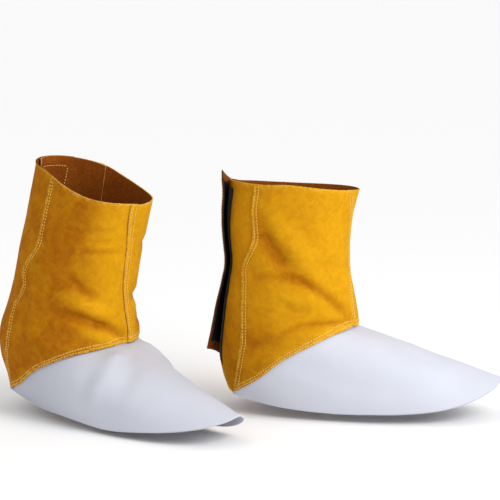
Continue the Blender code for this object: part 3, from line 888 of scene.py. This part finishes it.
# the flap's cut edge is painted dark brown, as shade
FLAP_FACES = (SUEDE, SUEDE_INSIDE,
              raw_edge("shaded_raw_edge", colour(64, 36, 24), colour(106, 60, 30)))
WHITE_FACES = (white_leather(), white_inside(),
               raw_edge("white_raw_edge", colour(190, 192, 202), colour(222, 223, 231)))
HOOK_FACES = (SUEDE_INSIDE, HOOKS, HOOKS)
LOOP_FACES = (LOOPS, SUEDE_INSIDE, LOOPS)


# --- pieces ---
def put_in_scene(name, data):
    thing = bpy.data.objects.new(name, data)
    bpy.context.scene.collection.objects.link(thing)
    return thing


def add_piece(name, guard, points, faces, materials):
    """A smooth mesh, given in its guard's own frame. A mirrored guard's faces are turned over."""
    if guard["outer"] < 0:
        faces = [face[::-1] for face in faces]
    mesh = bpy.data.meshes.new(name)
    mesh.from_pydata(to_world(guard, points).tolist(), [], faces)
    mesh.polygons.foreach_set("use_smooth", np.ones(len(faces), dtype=bool))
    mesh.update()
    for material in materials:
        mesh.materials.append(material)
    return put_in_scene(name, mesh)


def add_sheet(name, guard, points, thickness, materials, painted):
    """A wall of even thickness on a grid of points: outer face, inner face and cut edge."""
    index = np.arange(points[..., 0].size).reshape(points.shape[:2])
    corners = (index[:-1, :-1], index[1:, :-1], index[1:, 1:], index[:-1, 1:])
    quads = np.stack(corners, axis=-1).reshape(-1, 4).tolist()
    piece = add_piece(name, guard, points.reshape(-1, 3), quads, materials)
    for mask, values in painted.items():
        layer = piece.data.attributes.new(mask, "FLOAT", "POINT")
        layer.data.foreach_set("value", np.ascontiguousarray(values, dtype=np.float32).ravel())
    wall = piece.modifiers.new("wall", "SOLIDIFY")
    wall.thickness = thickness
    wall.offset = 0
    wall.material_offset = 1
    wall.material_offset_rim = 2
    return piece


def near_edges(distances):
    """Where the nap is paler: rubbed along the cut edges, and over the whole foot seam, there
    partly a painted highlight.
    """
    reach = {"foot": WEAR_AND_HIGHLIGHT_AT_FOOT}
    return np.maximum.reduce([hump(np.maximum(away, 0), reach.get(name, RUBBED))
                              for name, away in distances.items()])


def painted_shade_and_ankle(guard, angle, height):
    """Where the colour is painted deeper and browner: painted shade behind the shin, away from the
    light, and in hollows and creases, taken off on ridges; also darker at the ankle.
    """
    side = np.abs(side_signed(angle))
    behind = guard["deep_behind"] * ease(side, *guard["deep_sides"])
    foot, foot_side = guard["deep_foot"]
    beside = ease(side, foot_side, foot_side + ANKLE_DARKENING_WIDTH)
    at_foot = foot * (1 - ease(height, *ANKLE_DARKENING_HEIGHTS)) * beside
    hollow = -fold_depth(guard, angle, height) / SHADED_HOLLOW
    return np.clip(behind + at_foot + np.clip(hollow, *FOLD_SHADE), 0.0, 1.0)


def along_row(reach, values, distance):
    """What a stitch row's points say at a distance along it."""
    return np.array([np.interp(distance, reach, column) for column in values.T])


def add_stitches(name, guard, rows):
    """Every stitch of some rows as one mesh. A row is a line of points with outward normals."""
    places, faces = [], []
    half = STITCH_LENGTH / 2
    for line, normals in rows:
        steps = np.linalg.norm(np.diff(line, axis=0), axis=1)
        reach = np.concatenate([[0], np.cumsum(steps)])
        for middle in np.arange(STITCH_PITCH / 2, reach[-1] - STITCH_PITCH / 2, STITCH_PITCH):
            stray = Vector((middle * SWAY_SCALE[0], reach[-1] * SWAY_SCALE[1], 0.5))
            sway = STITCH_SWAY * noise.noise(stray)
            centre = along_row(reach, line, middle)
            normal = unit(along_row(reach, normals, middle))
            along = unit(along_row(reach, line, middle + half)
                         - along_row(reach, line, middle - half))
            across = np.cross(normal, along)
            first = len(places)
            for share, girth, high in STITCH_RINGS:
                ring = (centre + along * share * STITCH_LENGTH + across * sway
                        + normal * high * STITCH_HEIGHT)
                for corner in range(STITCH_SIDES):
                    turn = corner * 2 * math.pi / STITCH_SIDES
                    places.append(ring + across * math.cos(turn) * girth * STITCH_WIDTH / 2
                                  + normal * math.sin(turn) * girth * STITCH_HEIGHT / 2)
            last = len(places) - STITCH_SIDES
            for ring in range(first, last, STITCH_SIDES):
                for corner in range(STITCH_SIDES):
                    a = ring + corner
                    b = ring + (corner + 1) % STITCH_SIDES
                    faces.append((a, b, b + STITCH_SIDES, a + STITCH_SIDES))
            faces.append(tuple(range(first, first + STITCH_SIDES))[::-1])
            faces.append(tuple(range(last, last + STITCH_SIDES)))
    return add_piece(name, guard, np.array(places), faces, (THREAD,))


def face_line(panel, angle, height, low, high, outward=1):
    """A line on a panel's outer face (or its inner face) with its outward normals."""
    points, _ = panel.place(angle, height, low, high)
    beside, _ = panel.place(angle + FACE_STEP[0], height, low, high)
    above, _ = panel.place(angle, height + FACE_STEP[1], low, high)
    normals = unit(np.cross(beside - points, above - points)) * outward
    return points + normals * (LEATHER / 2), normals


def up_seam(panel, edge, inward):
    """The stitch rows of a seam from foot to rim: lines at distances from its raw edge."""
    lines = []
    for row in ROWS_IN:
        share = np.array([0.0 if edge is panel.start else 1.0])
        low, high = panel.ends(share)
        height = np.linspace(low[0] + ROW_MARGIN, high[0] - ROW_MARGIN, SIDE_ROW_POINTS)
        angle = edge(height) + inward * row / arc(panel.guard, height)
        lines.append(face_line(panel, angle, height, low, high))
    return lines


def along_foot(panel, first_share, last_share):
    """The stitch rows of the seam to the flare, at distances above a panel's lower edge."""
    lines = []
    share = np.linspace(first_share, last_share, FOOT_ROW_POINTS)
    low, high = panel.ends(share)
    for row in ROWS_IN:
        height = low + row
        angle = panel.angle(share, height)
        lines.append(face_line(panel, angle, height, low, high))
    return lines


def tape_frame(panel, outward):
    """The single stitch row all round a tape, on a face of the leather that it is sewn to."""
    first, last = TAPE_ANGLES[0] + TAPE_ROW_INSET, TAPE_ANGLES[1] - TAPE_ROW_INSET
    inset = LAP + TAPE_ROW_MARGIN
    lines = []
    for angle in (first, last):
        low, high = panel.ends(np.array([panel.share_at(angle)]))
        height = np.linspace(low[0] + inset, high[0] - inset, TAPE_SIDE_POINTS)
        lines.append(face_line(panel, np.full_like(height, angle), height, low, high, outward))
    angle = np.linspace(first, last, TAPE_END_POINTS)
    low, high = panel.ends(panel.share_at(angle))
    for height in (low + inset, high - inset):
        lines.append(face_line(panel, angle, height, low, high, outward))
    return lines


def tape_points(panel, ply):
    """A tape's grid on a panel: it stops a lap short of the foot and of the rim."""
    angle = np.linspace(*TAPE_ANGLES, TAPE_COLUMNS)
    low, high = panel.ends(panel.share_at(angle))
    share = np.linspace(0, 1, TAPE_ROWS)
    height = (low + LAP)[:, None] + (high - low - 2 * LAP)[:, None] * share
    angle = np.repeat(angle[:, None], len(share), axis=1)
    return panel.surface(panel.guard, angle, height, ply(panel.guard, angle, height))


def finish_piece(piece, side, name):
    """A piece stands for its node, and hangs on the root."""
    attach(piece, "root")
    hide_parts(f"{side}_{name}")


def build_guard(side, guard):
    panels = panels_of(guard)
    for name, panel in panels.items():
        points, painted = panel.grid()
        faces = FLAP_FACES if name == "outer_back_and_flap" else GOLD_FACES
        piece = add_sheet(f"{side}_{name}_leather", guard, points, LEATHER, faces, painted)
        finish_piece(piece, side, name)
    points = flare_grid(guard)
    from_hem = np.linalg.norm(points - points[:, :1], axis=-1)
    # the flare's painted shade, heavier behind the toe
    behind = ease(points[..., 0], *SHADE_FROM_TOE)
    flare = add_sheet(f"{side}_flare_leather", guard, points, LEATHER, WHITE_FACES,
                      {"near_edge": hump(from_hem, RUBBED),
                       "soil": guard["soil"] * (FLARE_SHADE[0] + FLARE_SHADE[1] * behind)})
    finish_piece(flare, side, "flare")
    flap, underlap = panels["outer_back_and_flap"], panels["inner_back"]
    for name, panel, ply, faces in (("hook_tape", flap, hook_ply, HOOK_FACES),
                                    ("loop_tape", underlap, level_ply(TAPE_STEP), LOOP_FACES)):
        tape = add_sheet(f"{side}_{name}_strip", guard, tape_points(panel, ply), TAPE, faces, {})
        finish_piece(tape, side, name)
    inner, outer = panels["inner_quarter"], panels["outer_quarter"]
    stitches = {
        "front_seam": up_seam(inner, inner.end, -1),
        "inner_side_seam": up_seam(inner, inner.start, 1),
        "outer_side_seam": up_seam(outer, outer.end, -1),
        "inner_flare_seam": along_foot(inner, *FOOT_ROW_ENDS["inner"]),
        "outer_flare_seam": along_foot(outer, *FOOT_ROW_ENDS["outer"]),
        "hook_tape": tape_frame(flap, 1),
        "loop_tape": tape_frame(underlap, -1),
    }
    for name, rows in stitches.items():
        thread = add_stitches(f"{side}_{name}_stitches", guard, rows)
        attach(thread, "root")


for guard_side, guard_form in GUARDS.items():
    build_guard(guard_side, guard_form)


# --- floor, light and camera ---
FLOOR_HALF = 14.0
KEY_PLACE = Vector((0.78, -0.86, 0.62))
KEY_AIM = Vector((0.10, 0.0, -0.18))
KEY_LIGHT = {"shape": "DISK", "size": 0.7, "energy": 5.4}
WINDOW_DIRECTION = Vector((-0.70, 0.40, -0.59))
WINDOW_LIGHT = {"energy": 1.0, "angle": math.radians(30)}
ROOM_LIGHT = 0.82
CAMERA_PLACE = (0.073, -2.541, 0.380)
CAMERA_DOWN = 10.2  # degrees that the camera looks down
LENS = 136.4
SENSOR = 36.0


def add_floor():
    corners = [(x * FLOOR_HALF, y * FLOOR_HALF, 0) for x, y in ((-1, -1), (1, -1), (1, 1), (-1, 1))]
    mesh = bpy.data.meshes.new("floor")
    mesh.from_pydata(corners, [], [(0, 1, 2, 3)])
    finish = Finish("pale_floor", 0.9, 0.2, {"Base Color": (0.95, 0.95, 0.95, 1.0)})
    mesh.materials.append(finish.material)
    floor = put_in_scene("floor", mesh)
    floor.location = (0, 0, -COLLAR - FLOOR_GAP)


def add_light(name, kind, settings, place, direction):
    data = bpy.data.lights.new(name, kind)
    for setting, value in settings.items():
        setattr(data, setting, value)
    light = put_in_scene(name, data)
    light.location = place
    light.rotation_euler = direction.to_track_quat("-Z", "Y").to_euler()


def add_world():
    world = bpy.data.worlds.new("studio")
    world.use_nodes = True
    sky = world.node_tree.nodes["Background"].inputs
    sky["Color"].default_value = (1, 1, 1, 1)
    sky["Strength"].default_value = ROOM_LIGHT
    bpy.context.scene.world = world


def add_camera():
    data = bpy.data.cameras.new("camera")
    data.lens = LENS
    data.sensor_width = SENSOR
    data.clip_end = 100
    camera = put_in_scene("camera", data)
    camera.location = CAMERA_PLACE
    camera.rotation_euler = (math.radians(90 - CAMERA_DOWN), 0, 0)
    bpy.context.scene.camera = camera


add_floor()
add_world()
add_light("key_light", "AREA", KEY_LIGHT, KEY_PLACE, KEY_AIM - KEY_PLACE)
add_light("window_light", "SUN", WINDOW_LIGHT, (0, 0, 0), WINDOW_DIRECTION)
add_camera()
bpy.context.scene.view_settings.view_transform = "Standard"
